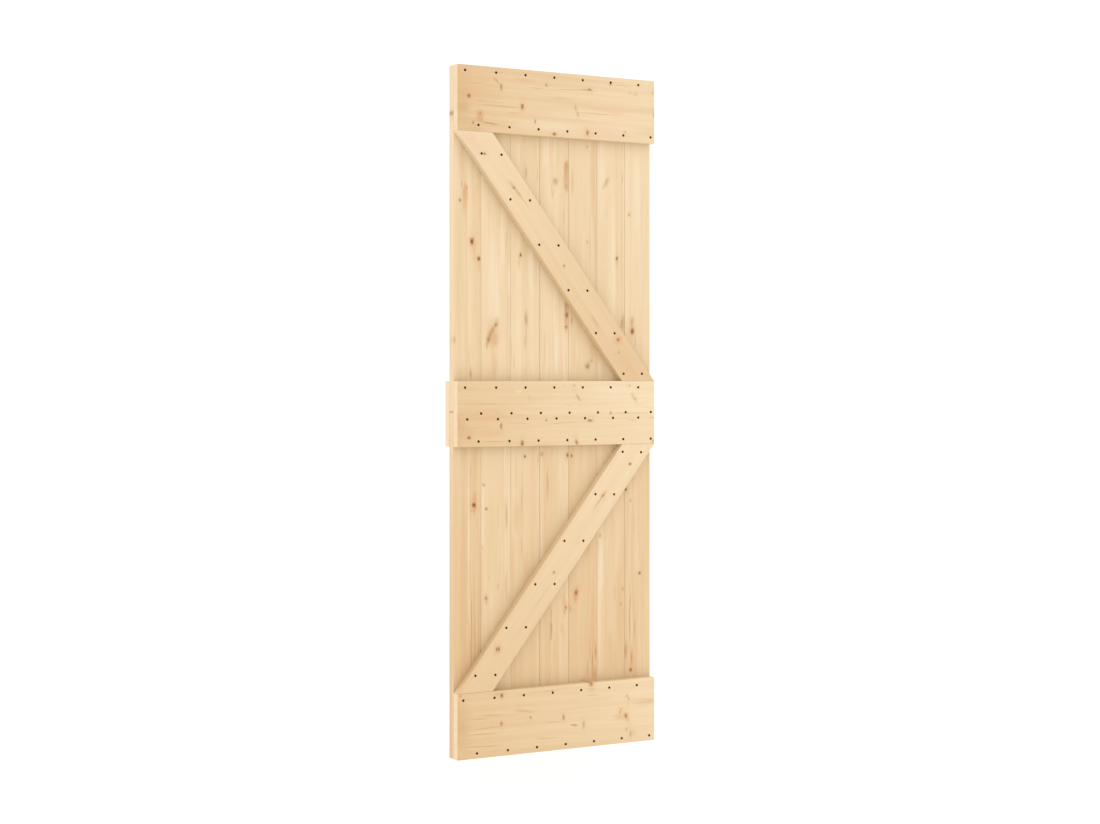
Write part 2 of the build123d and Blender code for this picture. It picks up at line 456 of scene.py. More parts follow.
LOOKS = {
    "top_rail": Look(
        (0.62, 0.29), -30, 6.5,
        knots=TWIN_KNOTS + [
            (77, 1956, 8, 9, "brown"), (53, 1926, 8, 13, "brown"), (60, 1917, 5, 6, "faint"),
            (267, 1943, 7, 14, "brown"), (334, 1908, 13, 10, "dark"), (453, 1919, 12, 19, "amber"),
            (590, 1930, 9, 6, "faint", 30), (537, 2076, 9, 7, "brown"), (692, 2062, 5, 10, "faint"),
            (697, 1992, 5, 22, "faint")],
        stains=[
            (2, 2000, 110, 250, "tan"), (60, 2030, 200, 120, "warm"), (16, 1970, 60, 26, "tan"),
            (76, 1947, 32, 46, "rust"), (76, 1950, 40, 40, "orange"), (134, 2058, 38, 13, "olive", -42),
            (112, 1927, 78, 7, "brown", -4), (138, 1982, 160, 4, "line"), (180, 1981, 80, 4, "line"),
            (80, 1993, 50, 3, "line"),
            (135, 1992, 60, 3, "line", -2), (60, 2044, 80, 3, "line", 2), (270, 2046, 70, 4, "line", -2),
            (386, 2049, 150, 4, "line", 3), (440, 2053, 50, 5, "tan", 4), (360, 2020, 110, 14, "warm"),
            (60, 2041, 90, 3, "pale"), (350, 2036, 90, 3, "pale"), (140, 2084, 60, 4, "line", 4),
            (578, 2077, 90, 3, "line", 1), (490, 1981, 140, 6, "tan"), (410, 1994, 12, 26, "olive", 12),
            (418, 1975, 12, 26, "olive", 10), (560, 1993, 64, 40, "blush"), (609, 2055, 14, 12, "tan"),
            (629, 2053, 22, 18, "warm"), (192, 1964, 70, 5, "tan", 1), (330, 1930, 420, 44, "pale"),
            (560, 1935, 220, 40, "pale"), (336, 1908, 34, 14, "orange"), (60, 1907, 110, 14, "tan"),
            (230, 2068, 90, 16, "warm", -3), (500, 1930, 260, 40, "blush"), (446, 2054, 46, 7, "rust", 3)],
        figure=0.85),
    "middle_rail": Look(
        (0.66, 0.18), 22, 6.0,
        knots=make_twin(TWIN_KNOTS) + [
            (420, 1093, 10, 28, "faint", 36), (628, 1086, 8, 16, "faint", 30), (538, 1043, 7, 8, "dark"),
            (405, 1130, 9, 7, "faint"), (607, 1129, 9, 7, "faint"), (414, 953, 10, 22, "amber", 15)],
        stains=[
            (4, 1000, 70, 110, "tan"), (90, 1040, 240, 60, "warm"), (100, 985, 150, 34, "warm"),
            (618, 1098, 16, 30, "orange", 30), (247, 1092, 14, 22, "tan", 15), (208, 1112, 30, 14, "pale"),
            (368, 1128, 16, 14, "green", 30), (617, 1042, 160, 4, "line"), (617, 1021, 40, 4, "olive"),
            (123, 960, 105, 4, "line"), (370, 1014, 170, 4, "line", 2), (330, 1003, 110, 3, "pale", 2),
            (340, 996, 90, 3, "pale", 2), (280, 993, 60, 3, "pale", -2), (560, 1116, 260, 26, "pale"),
            (133, 1047, 32, 4, "tan"), (212, 1041, 70, 5, "tan", -8), (205, 1015, 90, 5, "tan", -2),
            (50, 1000, 80, 4, "tan", 3), (40, 992, 40, 34, "warm"),
            (350, 985, 60, 10, "blush"), (300, 945, 90, 8, "warm"), (240, 1092, 480, 16, "green"),
            (110, 1075, 190, 5, "tan"), (690, 1027, 20, 4, "olive"), (385, 1070, 30, 10, "green", -20),
            (463, 1019, 34, 12, "olive"), (694, 953, 18, 16, "rust")],
        strips=[(1078, -0.1, 0.0)], figure=0.6),
    "bottom_rail": Look(
        (0.68, 0.27), 60, 6.0,
        knots=[
            (151, 184, 11, 15, "red"), (466, 196, 17, 18, "amber"), (150, 99, 11, 16, "brown"),
            (251, 109, 8, 10, "brown"), (367, 100, 9, 19, "brown"), (439, 72, 11, 28, "faint"),
            (597, 148, 10, 9, "faint", -40), (603, 140, 7, 12, "faint", 30), (572, 100, 9, 12, "faint"),
            (576, 108, 8, 6, "faint"), (593, 86, 14, 22, "amber", 20), (596, 42, 8, 10, "faint"),
            (610, 27, 9, 28, "faint"), (10, 194, 7, 6, "brown")],
        stains=[
            (3, 100, 100, 230, "tan"), (140, 190, 50, 14, "tan"), (466, 182, 34, 24, "warm"),
            (406, 72, 36, 11, "brown", -6), (662, 124, 90, 20, "warm"), (685, 125, 30, 22, "warm"),
            (470, 160, 60, 5, "tan"), (225, 132, 90, 12, "tan", -8),
            (330, 88, 70, 4, "line", -2), (110, 90, 130, 4, "line", 2), (75, 119, 70, 5, "line", -2),
            (240, 56, 140, 9, "green", -2), (230, 108, 60, 14, "green"),
            (110, 128, 90, 5, "line", -3), (603, 122, 3, 30, "tan"), (600, 72, 20, 18, "orange"),
            (570, 84, 60, 26, "warm"), (90, 35, 160, 6, "line", -2), (40, 20, 70, 12, "warm"),
            (130, 20, 90, 8, "warm"), (300, 40, 100, 4, "line", -2), (90, 72, 110, 5, "line", -2),
            (300, 186, 200, 5, "tan", 2), (620, 28, 30, 24, "warm"), (500, 185, 160, 6, "pale")],
        figure=0.65),
    "back_rail": Look(
        (0.35, 0.5), -45, 6.5,
        knots=[
            (120, 1010, 14, 20, "brown"), (300, 1098, 12, 14, "faint"), (418, 984, 15, 20, "red"),
            (585, 1066, 11, 14, "brown"), (640, 970, 14, 11, "faint")],
        stains=[(220, 1050, 200, 8, "tan"), (520, 1010, 180, 6, "tan"), (400, 1110, 160, 10, "pale")]),
    "upper_brace": Look(
        (0.64, 0.2), -12, 6.0,
        knots=[
            (92, 1834, 9, 8, "dark"), (193, 1735, 11, 9, "brown"), (369, 1501, 10, 9, "brown"),
            (565, 1274, 15, 17, "amber"), (567, 1234, 12, 9, "faint")],
        stains=[
            (188, 1742, 50, 14, "line", 4), (206, 1721, 46, 15, "line", 4), (212, 1714, 50, 12, "orange", 4),
            (234, 1688, 70, 6, "tan", 2),
            (565, 1271, 46, 40, "orange"), (522, 1272, 150, 70, "blush"), (40, 1882, 70, 40, "blush"),
            (66, 1852, 120, 50, "blush"), (482, 1328, 64, 14, "tan", -4),
            (600, 1200, 170, 44, "warm")],
        figure=0.45),
    "lower_brace": Look(
        (0.6, 0.18), 18, 6.0,
        knots=[
            (609, 881, 10, 10, "dark"), (509, 784, 15, 9, "brown"), (333, 551, 11, 9, "brown"),
            (134, 327, 15, 7, "dark", 38), (141, 327, 15, 7, "dark", 38)],
        stains=[
            (498, 770, 80, 7, "olive", -3), (516, 794, 26, 10, "tan"), (512, 770, 30, 12, "blush"),
            (137, 326, 54, 40, "warm"), (285, 470, 110, 8, "warm")],
        figure=0.45),
    "upper_plank_1": Look(
        (0.4, 0.36), -14, 5.0,
        knots=[
            (22, 1692, 14, 10, "brown"), (63, 1568, 24, 15, "deep"), (86, 1516, 14, 12, "deep"),
            (58, 1166, 26, 8, "faint"), (4, 1268, 22, 8, "faint"), (2, 1955, 18, 10, "brown")],
        stains=[
            (40, 1717, 60, 24, "rust"), (39, 1698, 104, 26, "orange"), (40, 1690, 120, 20, "warm"),
            (28, 1742, 30, 7, "olive"), (47, 1731, 16, 5, "brown"), (61, 1160, 28, 4, "rust", 8),
            (58, 1170, 50, 14, "warm"), (26, 1165, 80, 40, "green"), (18, 1820, 160, 14, "blush"),
            (30, 1820, 200, 26, "warm"), (16, 1500, 500, 26, "green"), (88, 1500, 60, 16, "warm"),
            (53, 1215, 100, 5, "orange"), (84, 1640, 30, 12, "blush"), (70, 1545, 100, 16, "warm"),
            (3, 1938, 50, 12, "blush"), (0, 1050, 7, 18, "brown")],
        strips=[(51, -0.06, -0.3)], seam=-0.6, figure=0.8),
    "upper_plank_2": Look(
        (0.42, 0.18), 30, 6.5,
        knots=[(145, 1315, 14, 12, "brown"), (119, 1270, 14, 11, "brown")],
        stains=[
            (138, 1280, 88, 46, "orange"), (141, 1273, 60, 38, "tan"), (134, 1292, 100, 46, "warm"),
            (131, 1296, 64, 18, "brown", -32), (121, 1271, 42, 17, "brown", -20),
            (114, 1253, 36, 12, "olive"), (149, 1326, 40, 14, "rust", -10),
            (140, 1190, 130, 26, "warm"), (181, 1570, 120, 4, "line", -3),
            (130, 1480, 400, 40, "pale"), (150, 1400, 300, 24, "pale"), (190, 1450, 160, 12, "pale"),
            (146, 1318, 44, 20, "orange"), (165, 1560, 300, 22, "pale")],
        seam=-0.85, figure=0.7),
    "upper_plank_3": Look(
        (0.3, 0.34), -8, 5.5,
        knots=[(231, 1532, 15, 10, "dark"), (249, 1334, 36, 8, "faint")],
        stains=[
            (250, 1787, 50, 9, "olive"), (250, 1285, 90, 5, "olive"), (251, 1337, 66, 15, "olive"),
            (246, 1262, 60, 5, "olive"), (232, 1843, 96, 3, "line"), (243, 1548, 90, 36, "green"),
            (226, 1510, 60, 18, "warm"), (200, 1235, 90, 5, "tan"), (290, 1780, 60, 5, "tan"),
            (268, 1500, 300, 22, "pale"), (208, 1200, 60, 4, "line"), (192, 1340, 160, 7, "pale")],
        strips=[(236, -0.08, 0.15)], seam=0.6, figure=0.6),
    "upper_plank_4": Look(
        (0.24, 0.28), 20, 6.5,
        knots=[
            (354, 1768, 12, 14, "faint"), (395, 1350, 20, 12, "red"),
            (393, 1312, 14, 11, "amber"), (390, 1382, 20, 7, "faint", 16)],
        stains=[
            (393, 1786, 100, 27, "rust"), (393, 1812, 44, 24, "rust"), (393, 1822, 24, 18, "line"),
            (393, 1749, 34, 19, "olive"), (354, 1764, 30, 24, "olive"), (342, 1733, 50, 5, "line", 8),
            (352, 1738, 30, 4, "line"), (392, 1346, 130, 17, "rust"), (394, 1382, 40, 14, "line"),
            (358, 1230, 200, 30, "pale"), (340, 1850, 200, 22, "blush"),
            (362, 1850, 160, 16, "green"), (374, 1200, 140, 22, "blush"), (390, 1200, 120, 9, "green"),
            (316, 1240, 160, 12, "warm"), (345, 1230, 160, 14, "blush"), (370, 1680, 80, 12, "blush"),
            (384, 1650, 80, 5, "tan")]),
    "upper_plank_5": Look(
        (0.44, 0.3), -26, 6.0,
        knots=[
            (468, 1880, 8, 7, "faint"), (468, 1581, 12, 7, "faint"), (469, 1190, 16, 13, "brown", -30),
            (483, 1208, 12, 10, "faint", -30), (412, 1334, 36, 8, "faint")],
        stains=[
            (414, 1766, 96, 12, "tan"), (489, 1790, 340, 22, "warm"),
            (488, 1240, 90, 26, "warm"), (478, 1570, 260, 4, "line"), (405, 1230, 240, 9, "pale"),
            (432, 1235, 100, 8, "pale"), (470, 1192, 34, 26, "olive"),
            (447, 1230, 110, 4, "pale"), (420, 1230, 120, 4, "tan"), (497, 1560, 300, 7, "tan")],
        figure=0.5),
    "upper_plank_6": Look(
        (0.36, 0.2), 12, 5.5,
        knots=[
            (577, 1532, 13, 9, "dark"), (595, 1327, 34, 9, "faint", -6), (605, 1328, 50, 7, "faint")],
        stains=[
            (538, 1774, 36, 13, "olive", -22), (528, 1757, 32, 12, "tan", -20),
            (534, 1766, 60, 22, "tan", -34), (596, 1328, 48, 15, "olive"), (524, 1728, 54, 26, "blush"),
            (577, 1522, 60, 16, "warm"), (598, 1787, 50, 7, "tan"), (577, 1650, 500, 2, "line"),
            (595, 1600, 700, 3, "line"),
            (600, 1330, 70, 18, "tan"), (522, 1800, 340, 34, "pale"), (566, 1500, 500, 14, "pale"),
            (514, 1180, 80, 12, "pale"), (594, 1870, 70, 8, "blush")],
        seam=-0.25, figure=0.55),
    "upper_plank_7": Look(
        (0.36, 0.12), -30, 6.5,
        knots=[
            (623, 1673, 14, 10, "faint", -20), (634, 1302, 24, 15, "deep"), (633, 1334, 28, 11, "faint")],
        stains=[
            (645, 1268, 44, 6, "olive"), (633, 1320, 66, 18, "tan"), (654, 1700, 460, 24, "pale"),
            (618, 1870, 80, 6, "pale"), (652, 1560, 300, 8, "blush"), (668, 1460, 300, 6, "pale")],
        figure=0.45),
    "lower_plank_1": Look(
        (0.8, 0.44), 8, 5.0,
        knots=[(70, 766, 18, 17, "deep")],
        stains=[
            (71, 774, 90, 22, "rust"), (70, 870, 220, 18, "warm"), (85, 748, 44, 26, "green"),
            (62, 380, 340, 4, "brown"), (73, 370, 300, 4, "brown"), (84, 400, 360, 4, "line"),
            (91, 420, 420, 4, "line"), (56, 340, 200, 4, "rust"), (68, 480, 300, 3, "line"),
            (62, 749, 5, 4, "brown"), (70, 747, 5, 8, "olive"), (60, 880, 60, 3, "line"),
            (54, 620, 500, 4, "pale"), (56, 560, 200, 3, "rust"), (12, 320, 300, 30, "green"),
            (68, 350, 160, 12, "warm"), (36, 820, 200, 36, "blush"), (57, 800, 300, 3, "line"),
            (51, 700, 560, 5, "pale"), (0, 1050, 7, 18, "brown")],
        strips=[(55, 0.04, -0.2)], seam=-0.4, figure=0.9),
    "lower_plank_2": Look(
        (0.58, 0.24), -22, 6.0,
        knots=[(103, 826, 8, 7, "brown"), (112, 753, 10, 10, "brown"), (111, 481, 15, 9, "brown")],
        stains=[
            (180, 742, 110, 12, "tan"), (183, 722, 80, 6, "line"), (130, 715, 200, 30, "green"),
            (130, 600, 260, 44, "green"),
            (112, 476, 46, 18, "tan"), (101, 780, 170, 10, "pale"), (100, 685, 130, 9, "pale"),
            (98, 636, 24, 6, "tan", 20), (167, 600, 180, 4, "pale"),
            (181, 510, 150, 14, "tan"), (152, 515, 30, 6, "line"), (122, 545, 30, 4, "line"),
            (190, 480, 60, 14, "warm"), (152, 740, 100, 3, "line")],
        strips=[(173, 0.08, 0.1)], seam=-0.85, figure=0.75),
    "lower_plank_3": Look(
        (0.66, 0.32), 26, 6.0,
        knots=[(246, 911, 12, 8, "dark")],
        stains=[
            (216, 730, 110, 34, "warm"), (234, 770, 110, 6, "tan"), (234, 630, 100, 6, "tan"),
            (205, 580, 160, 14, "warm"), (250, 560, 160, 30, "warm"), (292, 900, 60, 8, "tan"),
            (238, 800, 240, 4, "tan"), (272, 820, 200, 30, "blush"), (215, 860, 160, 10, "green")],
        seam=0.6, figure=0.6),
    "lower_plank_4": Look(
        (0.67, 0.26), -10, 6.0,
        knots=[
            (306, 917, 16, 14, "faint"), (397, 912, 18, 9, "dark"), (391, 436, 14, 9, "amber"),
            (386, 424, 16, 6, "faint")],
        stains=[
            (326, 825, 150, 12, "rust"), (318, 830, 160, 5, "green"), (339, 376, 84, 10, "brown"),
            (340, 420, 50, 7, "olive"), (388, 440, 70, 20, "orange"), (384, 470, 50, 6, "rust"),
            (350, 300, 160, 5, "tan"), (338, 345, 20, 6, "olive"),
            (374, 720, 300, 3, "tan"), (349, 830, 240, 18, "green"), (330, 740, 160, 16, "blush"),
            (340, 780, 240, 3, "green"), (350, 270, 40, 20, "green"), (376, 370, 60, 12, "warm"),
            (308, 720, 300, 8, "blush"), (384, 350, 80, 4, "tan")],
        seam=-0.15, figure=0.9),
    "lower_plank_5": Look(
        (0.72, 0.48), 16, 6.0,
        knots=[
            (412, 910, 14, 8, "dark"), (428, 482, 20, 14, "red"), (407, 432, 24, 9, "faint"),
            (452, 205, 8, 20, "faint")],
        stains=[
            (427, 474, 60, 24, "orange"), (425, 464, 36, 12, "rust"), (436, 490, 60, 30, "warm"),
            (490, 380, 380, 24, "orange"), (491, 290, 200, 20, "orange"), (499, 288, 60, 7, "brown"),
            (487, 262, 80, 6, "brown"), (494, 222, 56, 26, "rust"), (478, 300, 120, 5, "olive"),
            (470, 620, 90, 40, "warm"), (478, 580, 80, 30, "green"), (446, 330, 200, 3, "tan"),
            (455, 420, 90, 30, "green"), (470, 240, 70, 8, "line"), (434, 330, 80, 10, "green"),
            (445, 480, 100, 12, "green")],
        seam=-0.4, figure=0.6),
    "lower_plank_6": Look(
        (0.75, 0.3), -18, 6.5,
        knots=[
            (515, 656, 14, 9, "faint"), (599, 484, 18, 9, "faint"), (591, 437, 14, 8, "faint")],
        stains=[
            (518, 560, 260, 28, "pale"), (512, 380, 420, 14, "pale"), (585, 420, 400, 26, "warm"),
            (545, 580, 160, 9, "green"), (552, 320, 80, 24, "warm"), (570, 480, 60, 4, "line"),
            (600, 400, 120, 3, "line"), (560, 260, 140, 60, "warm"), (540, 620, 240, 3, "pale"),
            (506, 850, 120, 10, "blush")],
        seam=-0.5, figure=0.8),
    "lower_plank_7": Look(
        (0.6, 0.42), 24, 5.5,
        knots=[
            (610, 800, 14, 12, "dark"), (627, 763, 13, 11, "faint"), (662, 531, 12, 10, "dark"),
            (628, 225, 15, 12, "red"), (608, 288, 42, 12, "faint")],
        stains=[
            (632, 268, 76, 14, "rust"), (631, 262, 44, 6, "brown"), (625, 410, 260, 5, "line"),
            (624, 384, 130, 6, "olive"), (611, 285, 76, 19, "rust"), (607, 280, 50, 8, "line"),
            (632, 236, 60, 18, "orange"), (642, 350, 80, 7, "olive"), (644, 300, 80, 12, "green"),
            (652, 600, 60, 5, "pale", -12), (626, 440, 50, 6, "olive"), (655, 470, 160, 6, "blush"),
            (640, 690, 100, 4, "olive"), (655, 820, 60, 20, "blush")],
        figure=1.1),
}


class Board:
    """A board's own millimetres: X along its grain, which is turned from level, and Z across its face."""

    def __init__(self, node, turn):
        low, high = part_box(node)
        width = high[0] - low[0]
        height = high[2] - low[2]
        self.turn = turn
        self.middle = (Vector(low) + Vector(high)) / 2
        self.half_width = width / 2 / MM
        self.half_length = (abs(width * cos(turn)) + abs(height * sin(turn))) / 2 / MM

    def place(self, x, z):
        """Along and across the grain, a place given in millimetres from the leaf's left and bottom edges."""
        frame_x, frame_z = door_point(x, z)
        right = (frame_x - self.middle.x) / MM
        up = (frame_z - self.middle.z) / MM
        along = right * cos(self.turn) + up * sin(self.turn)
        across = up * cos(self.turn) - right * sin(self.turn)
        return along, across


def board_point(tree, board):
    """The point that is being shaded, in the board's own millimetres."""
    inputs = {
        "Vector": add(tree, "ShaderNodeTexCoord").outputs["Object"],
        "Location": board.middle, "Rotation": (0, -board.turn, 0), "Scale": (MM, MM, MM)}
    return add(tree, "ShaderNodeMapping", inputs, vector_type="TEXTURE").outputs[0]


def place_mark(tree, group, board, point, x, z, length, width, off_grain):
    """The outputs of a knot or stain of this size at this place on the leaf."""
    along, across = board.place(x, z)
    return use_group(tree, group, {
        "Point": point, "Centre": (along, 0, across), "Size": (length / 2, 1, width / 2),
        "Turn": radians(sum(off_grain))})


def place_knots(tree, board, marks, point):
    """The board's knots with their kinds, and the point once the grain has made way for them."""
    knots = []
    bent = point
    for x, z, length, width, kind, *off_grain in marks:
        knot = place_mark(tree, KNOT, board, point, x, z, length, width, off_grain)
        bent = vector_calc(tree, "ADD", bent, knot["Swerve"])
        knots.append((knot, KNOT_KINDS[kind]))
    return knots, bent


def glue_strips(tree, board, strips, point, tone):
    """The point and tone of a board glued from strips, each with a grain of its own."""
    for joint_place, change, joint in strips:
        across = board.place(joint_place, 0)[1] if board.turn else board.place(0, joint_place)[1]
        strip = use_group(tree, STRIP, {
            "Point": point, "Tone": tone, "Place": across, "Change": change, "Joint": joint})
        point, tone = strip["Point"], strip["Tone"]
    return point, tone


def lay_over(tree, cover, strength, shade, colour):
    """The colour under a shade that is this strong where the cover is 1."""
    return blend_colour(tree, calc(tree, "MULTIPLY", cover, strength), colour, shade)


def lay_stains(tree, board, marks, point, colour):
    """The colour with the board's streaks and patches over it."""
    for x, z, length, width, kind, *off_grain in marks:
        shade, strength = STAIN_KINDS[kind]
        stain = place_mark(tree, STAIN, board, point, x, z, length, width, off_grain)
        colour = lay_over(tree, stain["Cover"], strength, shade, colour)
    return colour


def lay_knots(tree, knots, colour, height):
    """The colour and height of the wood with the board's knots in them."""
    for knot, (heart, rim, surround, heart_share, rim_share, surround_share) in knots:
        colour = lay_over(tree, knot["Surround"], surround_share, surround, colour)
        colour = lay_over(tree, knot["Heart"], heart_share, heart, colour)
        colour = lay_over(tree, knot["Rim"], rim_share, rim, colour)
        height = calc(tree, "SUBTRACT", height, calc(tree, "MULTIPLY", knot["Rim"], KNOT_CHECK))
    return colour, height


def saw_ends(tree, board, point, late, colour):
    """The colour with end grain on the board's two sawn ends."""
    sawn = lay_over(tree, late, SAWN_RING_SHARE, LATE_WOOD, END_PINE)
    from_middle = calc(tree, "ABSOLUTE", part_of(tree, point, "X"))
    from_end = calc(tree, "SUBTRACT", board.half_length, from_middle)
    return blend_colour(tree, rescale(tree, from_end, *SAWN_SKIN, SAWN_COVER, 0), colour, sawn)


def paint_seam_shade_and_highlight(tree, board, point, strength, colour):
    """The colour with painted shade on the arris beside the plank's tongue, or a painted highlight there at a
    strength below 0.
    """
    shoulder = board.half_width - TONGUE_LENGTH / MM
    from_shoulder = calc(tree, "ADD", part_of(tree, point, "Z"), shoulder)
    chamfer = SEAM_CHAMFER / MM
    cover = rescale(tree, from_shoulder, chamfer, chamfer + SEAM_BLUR, abs(strength), 0)
    return blend_colour(tree, cover, colour, SEAM_PAINTED_SHADE if strength > 0 else SEAM_PAINTED_HIGHLIGHT)


def paint_nook_shade(tree, colour):
    """The colour with painted shade, a little deeper in the nooks between boards."""
    nook = add(tree, "ShaderNodeAmbientOcclusion", {"Distance": NOOK_REACH}, samples=NOOK_SAMPLES)
    openness = calc(tree, "MAXIMUM", nook.outputs["AO"], NOOK_LIMIT)
    shade = blend_colour(tree, openness, NOOK_PAINTED_SHADE, WHITE)
    return blend_colour(tree, 1, colour, shade, "MULTIPLY")


def make_pine(node, turn):
    """The pine of one board, its grain at this angle from level, with the board's own knots and stains."""
    look = LOOKS[node]
    board = Board(node, turn)
    material, tree = new_material("pine_" + node)
    point = board_point(tree, board)
    tone = rescale(tree, part_of(tree, point, "X"), -board.half_length, board.half_length, *look.tone)
    knots, bent = place_knots(tree, board, look.knots, point)
    bent, tone = glue_strips(tree, board, look.strips, bent, tone)
    own_stretch = (BOARDS.index(node) + 1) * GRAIN_STEP
    grain = use_group(tree, GRAIN, {
        "Point": vector_calc(tree, "ADD", bent, (own_stretch, 0, 0)), "Tone": tone,
        "Heart": look.heart, "Ring Width": look.ring, "Figure": look.figure})
    colour = lay_stains(tree, board, look.stains, point, grain["Colour"])
    colour, height = lay_knots(tree, knots, colour, grain["Height"])
    colour = saw_ends(tree, board, point, grain["Late"], colour)
    # painted shade beside the tongue, and a painted highlight there where the strength is below 0
    if look.seam:
        colour = paint_seam_shade_and_highlight(tree, board, point, look.seam, colour)
    # painted shade in the nooks, as deep as each point is shut in by the boards near it
    colour = paint_nook_shade(tree, colour)
    relief = {"Height": height, "Strength": RELIEF_SHARE, "Distance": RELIEF_DEPTH}
    shader = add(tree, "ShaderNodeBsdfPrincipled", {
        "Base Color": colour, "Roughness": grain["Roughness"], "Specular IOR Level": PINE_SPECULAR,
        "Normal": add(tree, "ShaderNodeBump", relief).outputs[0]})
    show_surface(tree, shader)
    return material


# Boards

ARRIS_STEPS = 3


def link_object(name, data):
    """A new object of the scene that shows this mesh, camera or lamp."""
    thing = bpy.data.objects.new(name, data)
    bpy.context.scene.collection.objects.link(thing)
    return thing


def new_object(name, mesh_data, *materials):
    """A new object of the scene from a bmesh, which is freed."""
    mesh = bpy.data.meshes.new(name)
    mesh_data.to_mesh(mesh)
    mesh_data.free()
    for material in materials:
        mesh.materials.append(material)
    return link_object(name, mesh)


def new_piece(name, mesh_data, material):
    """A piece of the leaf from a bmesh, which is freed."""
    piece = new_object(name, mesh_data, material)
    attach(piece, "root")
    return piece


def round_arrises(board):
    """Rounds all the edges of a board's bmesh, only the rounded faces shaded smooth."""
    rounded = bmesh.ops.bevel(
        board, geom=list(board.edges), offset=ARRIS, offset_type="OFFSET", segments=ARRIS_STEPS, profile=0.5,
        affect="EDGES", material=-1, clamp_overlap=True)
    for face in rounded["faces"]:
        face.smooth = True


def eased_board(outline, front, back):
    """A bmesh of a board whose outline is seen from the front, all its arrises rounded."""
    board = bmesh.new()
    face = board.faces.new([board.verts.new((x, front, z)) for x, z in outline])
    swept = bmesh.ops.extrude_face_region(board, geom=[face])["geom"]
    moved = [item for item in swept if isinstance(item, bmesh.types.BMVert)]
    bmesh.ops.translate(board, vec=(0, back - front, 0), verts=moved)
    bmesh.ops.recalc_face_normals(board, faces=board.faces)
    round_arrises(board)
    return board


def rail_outline(node):
    """Corners of a rail seen from the front, from its solid's box."""
    low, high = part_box(node)
    return [(low[0], low[2]), (high[0], low[2]), (high[0], high[2]), (low[0], high[2])]


def brace_outline(node):
    """Corners of a brace seen from the front and its slope, from the rails that it seats on."""
    low, high = (corner[2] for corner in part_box(node))
    rise = high - low
    span = RIGHT - LEFT
    slope = atan2(rise, span) + asin(BRACE_WIDTH / hypot(span, rise))
    cut = BRACE_WIDTH / sin(slope)
    corners = [(LEFT, low), (LEFT + cut, low), (RIGHT, high), (RIGHT - cut, high)]
    if node == "upper_brace":
        corners = [(LEFT + RIGHT - x, z) for x, z in corners]
        slope = pi - slope
    return corners, slope


def make_board(node, outline, turn):
    """The eased board that stands in for a rail's or brace's solid."""
    low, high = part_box(node)
    board = new_piece(node + "_board", eased_board(outline, low[1], high[1]), make_pine(node, turn))
    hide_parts(node)
    return board


# Screws

HEAD_RADIUS = 4.1 * MM
HEAD_CORNERS = 12               # two for each of the recess's six lobes
HEAD_SINK = 0.3 * MM            # of the head's top below the wood
HEAD_HEIGHT = 0.6 * HEAD_RADIUS
HEAD_TAPER = 0.45               # how wide the head's foot is, against its top
RECESS_RIM = 0.5 * HEAD_RADIUS  # between the head's edge and the recess
RECESS_WAIST = 0.72             # how wide the recess is between two lobes, against over them
RECESS_DEPTH = 0.4 * HEAD_RADIUS
TURN_STEP = 2.399               # from one head to the next, so that no two stand alike
SINK_CLEARANCE = 0.35 * MM      # between the head and its countersink
SINK_CORNERS = 20
SINK_REACH = 0.8                # of the cutting cone in and out of the wood, against its mouth
STEEL_DARK = srgb(76, 44, 4)
STEEL_LIGHT = srgb(102, 62, 10)
STEEL_ROUGHNESS = (0.38, 0.55)
WEAR = ((1.2, 1.2, 1.2), 3.0, 0.5)
WEAR_SPREAD = 0.2

# Every screw's place as it was measured in the photograph: the rows on each rail, as a level and the places
# along it, and the left screw of each pair on the braces, in millimetres from the leaf's left and bottom edges
RAIL_ROWS = {
    "top_rail": [
        (2082.9, (26.0, 131.6, 233.4, 334.6, 436.3, 537.8, 639.4)),
        (1919.5, (71.1, 177.5, 278.9, 380.9, 482.5, 584.2, 685.5))],
    "middle_rail": [
        (1123.9, (25.9, 131.7, 233.4, 334.6, 436.3, 537.8, 639.3)),
        (1045.3, (80.4, 184.7, 287.0, 389.1, 491.1, 592.9, 686.4)),
        (1027.8, (33.4, 137.8, 240.2, 342.3, 444.4, 546.1, 639.4)),
        (960.4, (71.6, 177.5, 278.9, 380.9, 482.5, 584.0, 686.1))],
    "bottom_rail": [
        (179.5, (20.1, 126.0, 227.4, 329.0, 430.5, 532.5, 634.1)),
        (16.0, (66.1, 172.0, 273.4, 375.1, 476.6, 578.2, 680.2))],
}
BRACE_PAIRS = {
    "upper_brace": (
        (82.1, 1833.9), (180.8, 1699.2), (281.3, 1564.0), (385.1, 1426.3), (484.0, 1294.2), (585.0, 1166.8)),
    "lower_brace": (
        (581.8, 920.2), (482.1, 789.4), (370.4, 647.5), (267.5, 517.8), (166.7, 390.1), (61.0, 251.6)),
}
PAIR_SPACING = 68.1
PAIR_DROP = {"upper_brace": 0.0, "lower_brace": 2.4}


def screw_places(node):
    """Where the screws of a rail or brace are, in metres on its front."""
    if node in RAIL_ROWS:
        return [door_point(x, z) for z, row in RAIL_ROWS[node] for x in row]
    places = []
    for x, z in BRACE_PAIRS[node]:
        places += [door_point(x, z), door_point(x + PAIR_SPACING, z - PAIR_DROP[node])]
    return places


def facing_front(middle, turn=0):
    """The matrix that turns a flat shape to the front at this place, and by this angle in its plane."""
    return Matrix.Translation(middle) @ Matrix.Rotation(turn, 4, "Y") @ Matrix.Rotation(pi / 2, 4, "X")


def make_sink_cutter(places):
    """The cones that cut the countersinks."""
    cones = bmesh.new()
    mouth = HEAD_RADIUS + SINK_CLEARANCE
    reach = mouth * SINK_REACH
    for x, z in places:
        bmesh.ops.create_cone(
            cones, cap_ends=True, segments=SINK_CORNERS, radius1=mouth - reach, radius2=mouth + reach,
            depth=reach * 2, matrix=facing_front((x, FRONT, z)))
    return new_object("countersinks", cones)


